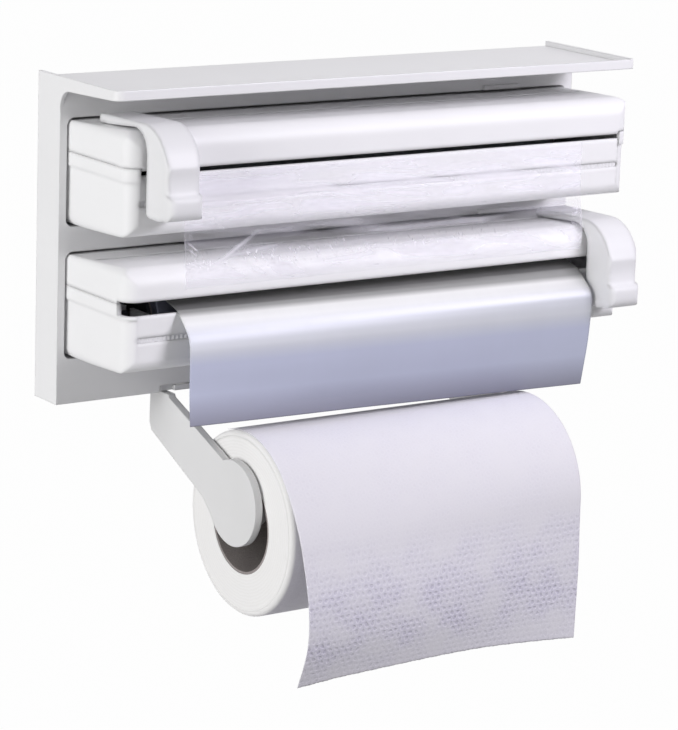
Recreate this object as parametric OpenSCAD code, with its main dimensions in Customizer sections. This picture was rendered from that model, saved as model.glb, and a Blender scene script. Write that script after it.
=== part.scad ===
// Wall dispenser for cling film, foil and a kitchen roll.
// X runs to the right, Y into the wall and Z up. The wall is the plane y = 0.
// The origin is the middle of the four wall screws.

/* [Frame] */
// Width of the frame and of its shelf
frame_w = 390; // [380:1:410]
// Height of the frame
frame_h = 203; // [200:1:210]
// Depth from the wall to the frame's front face
frame_d = 27; // [25:0.5:30]
// Depth of the shelf from the wall
shelf_d = 94; // [86:1:100]
// Wall thickness of the frame's moulding
frame_t = 2.5; // [2:0.1:3]
// Height of each pocket
pocket_h = 67; // [66:0.5:69]
// Distance between the middles of the pockets
pitch = 82.5; // [81:0.5:85]
// Side margin of the pockets
pocket_margin = 5; // [4:0.5:7]
// Sideways distance between wall screws
screw_w = 300; // [260:5:320]
// Radius of the wall screw holes
screw_r = 2.6; // [2:0.1:3]

/* [Cassettes] */
// Distance from the wall to the cassettes' front
case_front = 98; // [96:0.5:100]
// Height that a cassette leaves free in its pocket
case_gap = 3; // [2.4:0.1:4]
// Height of the lid at its rear
lid_h = 18; // [17:0.25:18.5]
// How much higher the lid is at its front
lid_rise = 3.5; // [2:0.25:4]
// Wall thickness of the cassettes
case_t = 2.2; // [1.8:0.1:2.6]
// Radius of the upright front corners
corner_r = 9; // [6:0.5:11]
// Radius of the lid's top front edge
top_r = 11; // [8:0.5:12]
// Height of the film's exit slot
film_slot = 4.4; // [4.2:0.1:5]
// Height of the foil's exit slot
foil_slot = 6.5; // [6.3:0.1:7.5]

/* [Cutters] */
// Width of a handle
handle_w = 23; // [21:0.5:25]
// Distance from a cassette's end to the middle of a parked handle
handle_in = 21.5; // [20.5:0.25:22.5]
// Radius of the handle's outer bend
handle_r = 28.5; // [27.5:0.25:29.5]

/* [Rolls] */
// Room beside the cling film at each end of its cassette
film_room = 38.5; // [37.5:0.5:48]
// Radius of the cling film roll
film_r = 20; // [18:0.5:22]
// Room beside the foil at each end of its cassette
foil_room = 36; // [35.5:0.5:48]
// Radius of the foil roll
foil_r = 22; // [20:0.25:23]
// Outer radius of the two small tubes
tube_r = 15; // [13:0.5:16]
// Width of the kitchen roll
paper_w = 220; // [200:2:220]
// Radius of the kitchen roll
paper_r = 58; // [50:0.5:58.5]
// Inner radius of the kitchen roll's tube
paper_bore = 30; // [26:0.5:31]
// Length of film that hangs below its slot
film_drop = 74; // [60:1:78]
// Length of foil that hangs below its slot
foil_drop = 73; // [50:1:80]
// How far the foil stands off its cassette
foil_bow = 15; // [14.5:0.5:18]
// Length of paper that hangs below the roll's middle
paper_drop = 86; // [64:1:110]
// How far the hanging paper bows forward
paper_bow = 19; // [8:0.5:20]

/* [Arms] */
// Thickness of the arms
arm_t = 5; // [4:0.25:5.5]
// Radius of the arms' discs
disc_r = 27; // [24:0.5:28]
// Radius of the hubs that carry the roll
hub_r = 16; // [13:0.5:18]
// Length of the hubs
hub_l = 12; // [8:0.5:13]

/* [Hidden] */
$fn = 48;
white = [0.93, 0.93, 0.95];
steel = [0.72, 0.73, 0.75];
card = [0.62, 0.56, 0.50];
run = 0.06;
top = frame_h / 2;
shelf_floor = top - 3.2;
shelf_under = top - 5.6;
pocket_w = frame_w - 2 * pocket_margin;
pocket_up = 1.15;
film_mid = pitch / 2 + pocket_up;
foil_mid = -pitch / 2 + pocket_up;
case_w = pocket_w - 3;
film_w = case_w - 2 * film_room;
foil_w = case_w - 2 * foil_room;
handle_x = case_w / 2 - handle_in;
case_back = 9;
tray_h = pocket_h - lid_h - case_gap;
film_seam = film_mid - pocket_h / 2 + 0.6 + tray_h;
foil_seam = film_seam - pitch;
front_x = case_w / 2 - corner_r + 0.5;
panel_in = 1.2;
groove_z = -21.5;
groove_h = 3;
hinge_y = -15;
hinge_z = 4;
hinge_pin_r = 1.5;
lug_x = case_w / 2 - 17.5;
lug_w = 4;
lid_lug_x = lug_x + lug_w + 0.4;
cradle_x = case_w / 2 - 28.5;
axle_r = 4;
axle_end = cradle_x + 3;
rail_y = -52;
rail_top = lid_h + lid_rise * (-rail_y - case_back) / (case_front - top_r - case_back);
pivot_z = rail_top + 2.4;
roll_y = -52;
roll_z = -17;
tube_t = 1.5;
leg_in = case_front + 3.5;
bend_y = 97;
bend_z = rail_top + 6.9 - handle_r;
leg_out = bend_y + handle_r;
pad_y = leg_out + 0.7;
lip_y = leg_out + 4.5;
lip_low = -20.5;
leg_low = -29.5;
notch_z = -top + 4.3;
arm_x = paper_w / 2 + 1.5;
arm_pin_z = -top + 5.5;
arm_pin_r = 1.5;
arm_pin_l = 19;
bar_y = -14;
bar_screw_x = paper_w / 2 - 20;
bar_screw_r = 1.6;
catch_x = pocket_w / 2 - 55;
rib_pitch = (pocket_w - 8) / 6;
hub_y = -107;
hub_z = -154;
paper_z = hub_z - (paper_bore - hub_r) + 0.3;

// Draws a profile of (y, z) points along X, centred.
module along_x(l) {
    rotate([90, 0, 90]) linear_extrude(l, center = true) children();
}

// Draws an outline of (x, z) points from the wall side at y to the front.
module forward(y, l) {
    translate([0, y, 0]) rotate([90, 0, 0]) linear_extrude(l) children();
}

// A cylinder along X, centred.
module rod_x(r, l) {
    rotate([0, 90, 0]) cylinder(r = r, h = l, center = true);
}

// A cylinder along Y, centred.
module rod_y(r, l) {
    rotate([90, 0, 0]) cylinder(r = r, h = l, center = true);
}

// A box between two corners.
module box(a, b) {
    translate(a) cube(b - a);
}

// A centred rectangle with round corners.
module round_rect(w, h, r) {
    square([w - 2 * r, h], center = true);
    square([w, h - 2 * r], center = true);
    for (x = [-1, 1], y = [-1, 1])
        translate([x * (w / 2 - r), y * (h / 2 - r)]) circle(r);
}

// Plan of a cassette, smaller all round by t, with round front corners.
module case_plan(t) {
    w = case_w / 2 - t;
    r = corner_r - t;
    translate([-w, -case_front + t + r]) square([2 * w, case_front - case_back - 2 * t - r]);
    translate([-w + r, -case_front + t]) square([2 * w - 2 * r, r + 1]);
    for (s = [-1, 1])
        translate([s * (w - r), -case_front + t + r]) circle(r);
}

// Points along a smooth curve through a list of points.
function between(a, b, c, d, u) =
    0.5 * (2 * b + (c - a) * u + (2 * a - 5 * b + 4 * c - d) * u * u
        + (3 * b - a - 3 * c + d) * u * u * u);
function smooth(p, n) = [
    for (i = [0 : len(p) - 2], k = [0 : n - 1])
        between(p[max(i - 1, 0)], p[i], p[i + 1], p[min(i + 2, len(p) - 1)], k / n),
    p[len(p) - 1]];
function across(p, i) =
    let (d = p[min(i + 1, len(p) - 1)] - p[max(i - 1, 0)]) [d[1], -d[0]] / norm(d);

// A thin web between a left and a right edge curve, each a list of (y, z) points.
module web(left, right, w, t, n) {
    m = len(left);
    front = [for (j = [0 : n], i = [0 : m - 1])
        let (p = left[i] + (right[i] - left[i]) * j / n) [w * (j / n - 0.5), p[0], p[1]]];
    back = [for (j = [0 : n], i = [0 : m - 1])
        let (p = left[i] + (right[i] - left[i]) * j / n, q = across(left, i))
            [w * (j / n - 0.5), p[0] - t * q[0], p[1] - t * q[1]]];
    k = m * (n + 1);
    skin = [for (j = [0 : n - 1], i = [0 : m - 2], h = [0, 1])
        let (a = j * m + i) h == 0 ? [a, a + 1, a + m] : [a + 1, a + m + 1, a + m]];
    rim = concat(
        [for (j = [0 : n - 1]) [j * m, (j + 1) * m]],
        [for (i = [0 : m - 2]) [n * m + i, n * m + i + 1]],
        [for (j = [0 : n - 1]) [(n - j) * m + m - 1, (n - j - 1) * m + m - 1]],
        [for (i = [0 : m - 2]) [m - 1 - i, m - 2 - i]]);
    polyhedron(
        points = concat(front, back),
        faces = concat(
            skin,
            [for (f = skin) [f[2] + k, f[1] + k, f[0] + k]],
            [for (e = rim) [e[0], e[1], e[1] + k]],
            [for (e = rim) [e[0], e[1] + k, e[0] + k]]),
        convexity = 8);
}

// Side outline of the frame and shelf, with the hollow bend under the shelf.
module frame_side() {
    bend = 10;
    translate([-frame_d, -top]) square([frame_d, frame_h]);
    polygon([[0, top], [-shelf_d, top], [-shelf_d, top - 6], [-frame_d, top - 8.6], [0, top - 8.6]]);
    difference() {
        translate([-frame_d - bend, top - 8.3 - bend]) square([bend + 0.5, bend]);
        translate([-frame_d - bend, top - 8.3 - bend]) circle(bend);
    }
}

// The frame: a shell open to the wall, with shelf, two pockets, ribs and screw bosses.
module wall_frame() {
    inner = frame_w / 2 - frame_t;
    color(white) difference() {
        union() {
            difference() {
                intersection() {
                    along_x(frame_w) frame_side();
                    translate([0, -shelf_d / 2 + 10, 0]) linear_extrude(frame_h + 2, center = true)
                        round_rect(frame_w, shelf_d + 20, 6);
                    box([-frame_w, -shelf_d - 1, -top - 1], [frame_w, 0, top + 1]);
                }
                box([-inner, -frame_d + frame_t, -top + frame_t], [inner, 1, shelf_under]);
                box([-inner, -shelf_d + frame_t, shelf_floor], [inner, 1, top + 1]);
                box([-inner, -shelf_d + frame_t, top - 30], [inner, -frame_d, shelf_under]);
            }
            for (z = [film_mid, foil_mid])
                translate([0, 0, z]) forward(-frame_t, frame_d - frame_t - 0.5)
                    round_rect(pocket_w + 4.4, pocket_h + 4.4, 7);
            for (x = [-2 : 2]) {
                translate([x * rib_pitch, 0, 0])
                    box([-1, -frame_d + 1, film_mid + pocket_h / 2], [1, -0.5, shelf_under + 1]);
                translate([x * rib_pitch, 0, 0])
                    box([-1, -frame_d + 1, foil_mid + pocket_h / 2], [1, -0.5, film_mid - pocket_h / 2]);
                translate([x * rib_pitch, 0, 0])
                    box([-1, -frame_d + 1, notch_z + 6], [1, -0.5, foil_mid - pocket_h / 2]);
            }
            for (x = [-1, 1], z = [-1, 1])
                translate([x * screw_w / 2, -2.5, z * pitch / 2]) rod_y(7, 5);
            for (x = [-1, 1])
                translate([x * bar_screw_x, bar_y, notch_z + 0.2])
                    cylinder(r = 4.5, h = foil_mid - pocket_h / 2 - notch_z - 1);
            for (z = [film_mid, foil_mid])
                translate([catch_x, 0, z + pocket_h / 2])
                    box([-14, -frame_d - 2.7, 0.3], [14, -frame_d + 1, 3.2]);
        }
        for (z = [film_mid, foil_mid])
            translate([0, 0, z]) forward(-5, frame_d) round_rect(pocket_w, pocket_h, 5);
        for (x = [-1, 1], z = [-1, 1])
            translate([x * screw_w / 2, -3, z * pitch / 2]) rod_y(screw_r, 8);
        for (x = [-1, 1])
            translate([x * bar_screw_x, bar_y, notch_z - 1]) cylinder(r = bar_screw_r + 0.02, h = 16);
        box([-arm_x - 9.5, -frame_d - 1, -top - 1], [arm_x + 9.5, -3, notch_z]);
    }
}

// The bar in the frame's lower edge, with lugs for the arms' pins at both ends.
module roll_bar() {
    end = arm_x - 1.5;
    color(white) difference() {
        union() {
            box([-end, -frame_d + 0.4, -top], [end, -3.6, -top + 2.4]);
            box([-end, -frame_d, -top], [end, -frame_d + 2.4, notch_z - 0.9]);
            box([-end, -6, -top], [end, -3.6, notch_z - 0.4]);
            for (s = [-1, 1])
                translate([s * bar_screw_x, bar_y, -top]) cylinder(r = 6, h = 4.2);
            for (s = [-1, 1], y = [bar_y - 8.4, bar_y + 7.6])
                translate([s * (arm_x + arm_t / 2 - 1), y, -top])
                    box([-5.5, -1.6, 0], [5.5, 1.6, 9.4]);
        }
        for (s = [-1, 1])
            translate([s * (arm_x + arm_t / 2), bar_y, arm_pin_z]) rod_y(arm_pin_r + 0.02, 40);
        for (s = [-1, 1]) {
            translate([s * bar_screw_x, bar_y, -top - 1]) cylinder(r = bar_screw_r + 0.3, h = 9);
            translate([s * bar_screw_x, bar_y, -top - 1]) cylinder(r = 3.8, h = 3.2);
        }
    }
}

// Two pan-head screws up through the bar into the frame's bosses.
module bar_screws() {
    color(steel) for (s = [-1, 1]) translate([s * bar_screw_x, bar_y, -top]) difference() {
        union() {
            translate([0, 0, 0.2]) cylinder(r = 3.5, h = 2);
            translate([0, 0, 1]) cylinder(r = bar_screw_r, h = 14);
        }
        box([-2.4, -0.4, -1], [2.4, 0.4, 1]);
        box([-0.4, -2.4, -1], [0.4, 2.4, 1]);
    }
}

// The hinge pins of the two arms.
module arm_pins() {
    color(steel) for (s = [-1, 1])
        translate([s * (arm_x + arm_t / 2), bar_y - 0.4, arm_pin_z]) rod_y(arm_pin_r, arm_pin_l);
}

// An arm on the right side: knuckle, cranked plate, disc and hollow hub.
module arm() {
    mid = arm_x + arm_t / 2;
    low = -top - 1.2;
    color(white) difference() {
        union() {
            translate([mid, 0, 0]) along_x(arm_t) union() {
                polygon([[-8.4, low], [-8, -125], [-10.5, -130], [-74, -158.5], [-84, -168],
                    [hub_y, hub_z], [-95, -129], [-31, -104.6], [-30, low]]);
                translate([hub_y, hub_z]) circle(disc_r);
            }
            box([mid - arm_t / 2, bar_y - 6.2, low - 1], [mid + arm_t / 2, bar_y + 5.4, arm_pin_z]);
            translate([mid, bar_y - 0.4, arm_pin_z]) rod_y(3.6, 11.6);
            translate([arm_x - hub_l / 2 + 0.5, hub_y, hub_z]) rod_x(hub_r, hub_l + 1);
        }
        translate([mid, bar_y - 0.4, arm_pin_z]) rod_y(arm_pin_r + run, arm_pin_l + 1);
        translate([arm_x - hub_l / 2, hub_y, hub_z]) rod_x(hub_r - 2.2, hub_l + 1);
    }
}

module left_arm() {
    mirror([1, 0, 0]) arm();
}

module right_arm() {
    arm();
}

// Cardboard tube of the kitchen roll.
module paper_core() {
    color(card) translate([0, hub_y, paper_z]) difference() {
        rod_x(paper_bore + tube_t, paper_w - 1);
        rod_x(paper_bore, paper_w + 1);
    }
}

// The wound kitchen roll.
module paper_roll() {
    color([0.95, 0.95, 0.94]) translate([0, hub_y, paper_z]) difference() {
        rod_x(paper_r, paper_w);
        rod_x(paper_bore + tube_t + 0.02, paper_w + 1);
    }
}

// The end of the kitchen roll: it leaves the roll at the front and hangs down with a slight bow.
module paper_sheet() {
    lift = paper_r + 0.4;
    start = hub_y - lift;
    rise = [for (a = [140 : 10 : 180]) [cos(a), sin(a), pow((a - 140) / 40, 2)]];
    left_roll = [for (c = rise)
        [hub_y + (lift + 0.45 * paper_bow * c[2]) * c[0], paper_z + (lift + 0.45 * paper_bow * c[2]) * c[1]]];
    right_roll = [for (c = rise) [hub_y + lift * c[0], paper_z + lift * c[1]]];
    left = smooth([for (s = [[0.6, 0.1], [0.75, 0.2], [1, 0.43], [0.96, 0.7], [0.46, 1]])
        [start - paper_bow * s[0], paper_z - paper_drop * s[1]]], 3);
    right = smooth([for (s = [[0.01, 0.1], [0.02, 0.2], [0.06, 0.43], [0.06, 0.72], [0.02, 1.05]])
        [start - paper_bow * s[0], paper_z - paper_drop * s[1]]], 3);
    color([0.94, 0.93, 0.96]) web(concat(left_roll, left), concat(right_roll, right), paper_w - 2, -0.5, 8);
}

// Side outline of the tray's body, smaller by t: soft bulge in front, bottom rising to the front.
module tray_side(t) {
    r = 9;
    f = -case_front + panel_in - 0.2 + t;
    low = -tray_h + t;
    intersection() {
        union() {
            polygon([[-case_back - t, 0], [f, 0], [f, low + 4 + r], [f + r, low + 4],
                [-frame_d, low], [-case_back - t, low]]);
            translate([f + r, low + 4 + r]) circle(r);
        }
        translate([f + 66 - 1.2, groove_z - 2]) circle(67, $fn = 96);
    }
}

// The inside or outside of the tray's body below its rim.
module tray_body(t) {
    w = case_w - 2 - 2 * t;
    intersection() {
        along_x(case_w) tray_side(t);
        translate([0, 0, -tray_h - 1]) linear_extrude(tray_h + 2) case_plan(t + 1);
        translate([0, 0, 10]) forward(0, case_front + 1) translate([0, -tray_h / 2 - 5 + t / 2])
            round_rect(w, tray_h + 10 - t, 7);
    }
}

// A cassette's lower shell, with rim, exit slot, front groove, roll cradles and hinge lugs.
// The slot goes round the front corners by the length wrap.
module tray(slot, wrap) {
    color(white) difference() {
        union() {
            difference() {
                union() {
                    tray_body(0);
                    translate([0, 0, -8.5]) linear_extrude(8.5) case_plan(0);
                }
                tray_body(case_t);
                translate([0, 0, -10]) linear_extrude(11) case_plan(case_t + 1);
            }
            intersection() {
                tray_body(0);
                box([-case_w, -case_front, groove_z - 4], [case_w, -case_front + 7, groove_z + 4]);
            }
            for (s = [-1, 1]) {
                intersection() {
                    tray_body(0.5);
                    translate([s * cradle_x, 0, 0]) box([-1.3, -case_front, -tray_h], [1.3, 0, roll_z + 6]);
                }
                translate([s * lug_x, 0, 0])
                    box([-lug_w / 2, hinge_y - 2.8, -tray_h / 2], [lug_w / 2, hinge_y + 2.8, hinge_z]);
                translate([s * lug_x, 0, 0])
                    box([-lug_w / 2, hinge_y, -tray_h / 2], [lug_w / 2, -case_back - 2, -1]);
                translate([s * lug_x, hinge_y, hinge_z]) rod_x(2.8, lug_w);
                translate([s * (case_w / 2 - 3.9), 0, 0])
                    box([-0.8, -case_front + 16, -8], [0.8, -frame_d - 1, 3]);
            }
        }
        box([-front_x, -case_front - 1, -slot], [front_x, -case_front + 8, 1]);
        box([-case_w, -case_front - 1, -slot], [case_w, -case_front + wrap, 1]);
        box([-front_x, -case_front - 1, -tray_h + 7], [front_x, -case_front + panel_in, 1]);
        box([-front_x, -case_front - 1, groove_z - groove_h / 2],
            [front_x, -case_front + 4.6, groove_z + groove_h / 2]);
        for (s = [-1, 1]) {
            translate([s * cradle_x, roll_y, roll_z]) rod_x(axle_r + run, 10);
            translate([s * cradle_x, 0, roll_z])
                box([-5, roll_y - axle_r - run, 0], [5, roll_y + axle_r + run, 20]);
            translate([s * lug_x, hinge_y, hinge_z]) rod_x(hinge_pin_r + run, 10);
        }
    }
}

module film_tray() {
    translate([0, 0, film_seam]) tray(film_slot, 0);
}

module foil_tray() {
    translate([0, 0, foil_seam]) tray(foil_slot, corner_r + 2);
}

// The inside or outside of the lid, smaller by t, with round front, top and corners.
module lid_body(t) {
    r = top_r - t;
    f = -case_front + t;
    high = lid_h + lid_rise - t;
    intersection() {
        along_x(case_w) union() {
            polygon([[-case_back - t, 0.3], [f, 0.3], [f, high - r], [f + r, high],
                [-case_back - t, lid_h - t]]);
            translate([f + r, high - r]) circle(r);
        }
        linear_extrude(lid_h + lid_rise + 1) case_plan(t);
        forward(0, case_front + 1) translate([0, high - 30])
            round_rect(case_w - 2 * t, 60, 7);
    }
}

// A cassette's upper shell, with the guide channel for the cutter and the hinge lugs.
// Its front edge ends at the height edge above or below the seam.
module lid(edge) {
    color(white) difference() {
        union() {
            difference() {
                lid_body(0);
                lid_body(case_t);
                translate([0, 0, -1]) linear_extrude(3) case_plan(case_t);
            }
            intersection() {
                lid_body(0.6);
                box([-case_w, rail_y - 6.2, rail_top - 7], [case_w, rail_y + 6.2, rail_top + 9]);
            }
            for (s = [-1, 1])
                translate([s * lid_lug_x, 0, 0])
                    box([-lug_w / 2, hinge_y - 3.5, hinge_z], [lug_w / 2, hinge_y + 3.5, lid_h - 1]);
            for (s = [-1, 1])
                translate([s * lid_lug_x, hinge_y, hinge_z]) rod_x(3.2, lug_w);
            if (edge < 0)
                box([-front_x + 1, -case_front, edge], [front_x - 1, -case_front + case_t, 3]);
        }
        if (edge > 0)
            box([-case_w, -case_front - 1, -1], [case_w, -case_front + corner_r + 2, edge]);
        box([-case_w / 2 + 7, rail_y - 1.6, rail_top - 3], [case_w / 2 - 7, rail_y + 1.6, rail_top + 9]);
        box([-case_w / 2 + 7, rail_y - 4, rail_top - 5], [case_w / 2 - 7, rail_y + 4, rail_top - 2.3]);
        box([-case_w, -19, -1], [case_w, 0, 1.4]);
        for (s = [-1, 1])
            translate([s * lid_lug_x, hinge_y, hinge_z]) rod_x(hinge_pin_r + 0.02, 10);
    }
}

module film_lid() {
    translate([0, 0, film_seam]) lid(-1.3);
}

module foil_lid() {
    translate([0, 0, foil_seam]) lid(2.2);
}

// The two rear hinge pins of a lid.
module lid_pins() {
    color(steel) for (s = [-1, 1])
        translate([s * (lug_x + lid_lug_x) / 2, hinge_y, hinge_z])
            rod_x(hinge_pin_r, lid_lug_x - lug_x + lug_w - 0.2);
}

module film_lid_pins() {
    translate([0, 0, film_seam]) lid_pins();
}

module foil_lid_pins() {
    translate([0, 0, foil_seam]) lid_pins();
}

// A guide shoe in the lid's channel, with a lug for the handle's pin above the lid.
module shoe() {
    color([0.86, 0.87, 0.90]) difference() {
        union() {
            box([-10, rail_y - 3.8, rail_top - 4.8], [10, rail_y + 3.8, rail_top - 2.5]);
            box([-10, rail_y - 1.4, rail_top - 3], [10, rail_y + 1.4, rail_top - 0.3]);
            box([-4.5, rail_y - 1.4, rail_top - 3], [4.5, rail_y + 1.4, pivot_z]);
            box([-4.5, rail_y - 2, rail_top + 0.5], [4.5, rail_y + 2, pivot_z]);
            translate([0, rail_y, pivot_z]) rod_x(2, 9);
        }
        translate([0, rail_y, pivot_z]) rod_x(1 + run, 12);
    }
}

module film_shoe() {
    translate([-handle_x, 0, film_seam]) shoe();
}

module foil_shoe() {
    translate([handle_x, 0, foil_seam]) shoe();
}

// Side outline of a handle: flat strap on the lid, wide bend, and a leg with a hollow thumb pad.
module handle_side() {
    strap = rail_top + 0.6;
    inner = top_r + 3.5;
    bow_z = lid_h + lid_rise + 1.9 - inner;
    pad_z = -4;
    pad_r = 30;
    difference() {
        union() {
            polygon([[rail_y + 6, strap], [rail_y + 6, strap + 3.6], [rail_y + 4.4, strap + 5],
                [-bend_y, bend_z + handle_r], [-bend_y, strap]]);
            intersection() {
                translate([-bend_y, bend_z]) circle(handle_r, $fn = 96);
                translate([-leg_out - 1, bend_z]) square([handle_r + 1.01, handle_r + 1]);
            }
            polygon([[-leg_in, bend_z + 10], [-leg_out + 2, bend_z + 10], [-pad_y, bend_z + 5],
                [-pad_y, lip_low], [-pad_y + 4, leg_low + 2.4], [-leg_in - 10, leg_low],
                [-leg_in - 3, leg_low], [-leg_in, leg_low + 3]]);
            translate([-leg_in - 3, leg_low + 3]) circle(3);
        }
        translate([-leg_in + inner, bow_z]) circle(inner, $fn = 96);
        translate([-leg_in, leg_low - 1]) square([inner, bow_z - leg_low + 1]);
        polygon([[rail_y - 4, strap], [-leg_in + inner, bow_z + inner], [-leg_in + inner, strap - 6],
            [rail_y - 4, strap - 6]]);
        translate([-pad_y - pad_r + 1.3, pad_z]) circle(pad_r, $fn = 96);
    }
}

// Side outline of the lip below the thumb pad.
module lip_side() {
    polygon([[-leg_out + 3, -11], [-pad_y, -12.4], [-lip_y + 1.2, -13.4], [-lip_y, -15], [-lip_y, lip_low],
        [-lip_y + 7, lip_low - 7], [-leg_out + 3, lip_low - 6]]);
    translate([-lip_y + 7, lip_low]) circle(7);
}

// A bar along X with a given side outline, rounded in plan at its front corners.
module rounded_front(front) {
    intersection() {
        along_x(handle_w) children();
        translate([0, -front / 2 + 10, -60]) linear_extrude(120) round_rect(handle_w, front + 20, 4);
    }
}

// A cutter handle, hollow towards the cassette, with a shelf inside for the blade.
module handle() {
    half = handle_w / 2;
    color(white) difference() {
        intersection() {
            union() {
                rounded_front(pad_y) handle_side();
                rounded_front(lip_y) lip_side();
            }
            forward(0, 140) translate([0, 60 + leg_low]) round_rect(handle_w, 120, 4);
        }
        difference() {
            union() {
                box([-half + 2.2, -leg_out + 4, leg_low + 4.5], [half - 2.2, -leg_in + 2, bend_z]);
                intersection() {
                    box([-half + 2.2, -leg_out, bend_z - 1], [half - 2.2, -leg_in + 2, bend_z + 12]);
                    translate([0, -bend_y, bend_z]) rod_x(handle_r - 4, 40, $fn = 96);
                }
            }
            box([-half, -leg_out, groove_z - 0.4], [half, -leg_in - 2, groove_z + 1.6]);
            box([-1, -leg_out, leg_low], [1, -leg_in - 8, bend_z + 14]);
        }
        box([-4.9, rail_y - 2.6, rail_top - 2], [4.9, rail_y + 2.6, pivot_z + 2.2]);
        translate([0, rail_y, pivot_z]) rod_x(1.02, 19);
    }
}

module film_handle() {
    translate([-handle_x, 0, film_seam]) handle();
}

module foil_handle() {
    translate([handle_x, 0, foil_seam]) handle();
}

// The pivot pin of a handle on its shoe.
module handle_pin() {
    color(steel) translate([0, rail_y, pivot_z]) rod_x(1, 18.6);
}

module film_handle_pin() {
    translate([-handle_x, 0, film_seam]) handle_pin();
}

module foil_handle_pin() {
    translate([handle_x, 0, foil_seam]) handle_pin();
}

// A small pointed blade that lies on the handle's inner shelf.
module blade() {
    color(steel) translate([0, 0, groove_z + 1.6]) linear_extrude(0.6)
        polygon([[-7, -leg_in - 7.6], [-7, -leg_in - 1], [0, -leg_in + 2.5], [7, -leg_in - 1],
            [7, -leg_in - 7.6]]);
}

module film_blade() {
    translate([-handle_x, 0, film_seam]) blade();
}

module foil_blade() {
    translate([handle_x, 0, foil_seam]) blade();
}

// The ribbed strip in the front groove.
module grip_strip() {
    n = 120;
    l = 2 * front_x - 1;
    back = -case_front + 4.5;
    color([0.80, 0.80, 0.83]) translate([0, 0, groove_z - groove_h / 2 + 0.1]) linear_extrude(groove_h - 0.2)
        polygon(concat(
            [[l / 2, back], [-l / 2, back]],
            [for (i = [0 : 2 * n]) [l * (i / (2 * n) - 0.5), back - (i % 2 == 0 ? 2.5 : 2.9)]]));
}

module film_grip_strip() {
    translate([0, 0, film_seam]) grip_strip();
}

module foil_grip_strip() {
    translate([0, 0, foil_seam]) grip_strip();
}

// A tube, a wound roll and the end plugs of a roll inside a cassette.
module tube(w) {
    color(card) translate([0, roll_y, roll_z]) difference() {
        rod_x(tube_r, w);
        rod_x(tube_r - tube_t, w + 1);
    }
}

module wound(w, r) {
    translate([0, roll_y, roll_z]) difference() {
        rod_x(r, w - 2);
        rod_x(tube_r + 0.02, w);
    }
}

module plugs(w) {
    color([0.85, 0.85, 0.88]) for (s = [-1, 1]) translate([s * w / 2, roll_y, roll_z]) {
        translate([-s * 4, 0, 0]) rod_x(tube_r - tube_t - 0.02, 8);
        translate([s * 1, 0, 0]) rod_x(tube_r, 2);
        translate([s * (axle_end - w / 2) / 2, 0, 0]) rod_x(axle_r, axle_end - w / 2);
    }
}

module film_core() {
    translate([0, 0, film_seam]) tube(film_w);
}

module film_roll() {
    color([0.85, 0.87, 0.90]) translate([0, 0, film_seam]) wound(film_w, film_r);
}

module film_plugs() {
    translate([0, 0, film_seam]) plugs(film_w);
}

module foil_core() {
    translate([0, 0, foil_seam]) tube(foil_w);
}

module foil_roll() {
    color([0.75, 0.76, 0.80]) translate([0, 0, foil_seam]) wound(foil_w, foil_r);
}

module foil_plugs() {
    translate([0, 0, foil_seam]) plugs(foil_w);
}

// The first part of a web: off the top of a roll of radius r and straight to the slot.
function off_roll(r, to) =
    let (c = [roll_y, roll_z], d = norm(to - c), a = atan2(to[1] - c[1], to[0] - c[0]) - acos(r / d))
        c + r * [cos(a), sin(a)];

// The cling film: out of the slot, down the tray's front and loosely over the lower lid.
module film_sheet() {
    y = -case_front + panel_in - 0.8;
    lip = [y + 3.8, -film_slot + 1.3];
    path = concat([off_roll(film_r + 0.8, lip)], smooth([lip, [y + 1, -film_slot + 0.9],
        [y, -film_slot - 0.4], [y - 0.1, -11], [y - 0.2, groove_z], [y - 0.5, -0.46 * film_drop],
        [y - 1.2, -0.6 * film_drop], [y - 2.6, -0.73 * film_drop], [y - 3.6, -0.85 * film_drop],
        [y - 3.4, -film_drop]], 3));
    color([0.85, 0.90, 0.95, 0.4]) translate([0, 0, film_seam]) web(path, path, film_w, 0.3, 4);
}

// The foil: out of the slot in a bow, and down past the frame's lower edge.
module foil_sheet() {
    y = -case_front;
    lip = [y + 1.5, -foil_slot + 1.1];
    start = off_roll(foil_r + 0.8, lip);
    left = concat([start], smooth([lip, for (s = [[0.43, 0.165], [0.83, 0.262], [0.97, 0.36],
        [0.99, 0.525], [1, 0.74], [1.13, 1]]) [y - foil_bow * s[0], -foil_drop * s[1]]], 3));
    right = concat([start], smooth([lip, for (s = [[0.43, 0.165], [0.9, 0.253], [1, 0.34],
        [0.93, 0.525], [0.8, 0.78], [0.47, 1.11]]) [y - foil_bow * s[0], -foil_drop * s[1]]], 3));
    color([0.75, 0.76, 0.82]) translate([0, 0, foil_seam]) web(left, right, foil_w, 0.3, 8);
}

wall_frame();
roll_bar();
bar_screws();
arm_pins();
left_arm();
right_arm();
paper_core();
paper_roll();
paper_sheet();
film_tray();
film_lid();
film_lid_pins();
film_shoe();
film_handle();
film_handle_pin();
film_blade();
film_grip_strip();
film_core();
film_plugs();
film_roll();
film_sheet();
foil_tray();
foil_lid();
foil_lid_pins();
foil_shoe();
foil_handle();
foil_handle_pin();
foil_blade();
foil_grip_strip();
foil_core();
foil_plugs();
foil_roll();
foil_sheet();
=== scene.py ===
import math

import bpy
import numpy as np
from mathutils import Matrix, Vector


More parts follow.
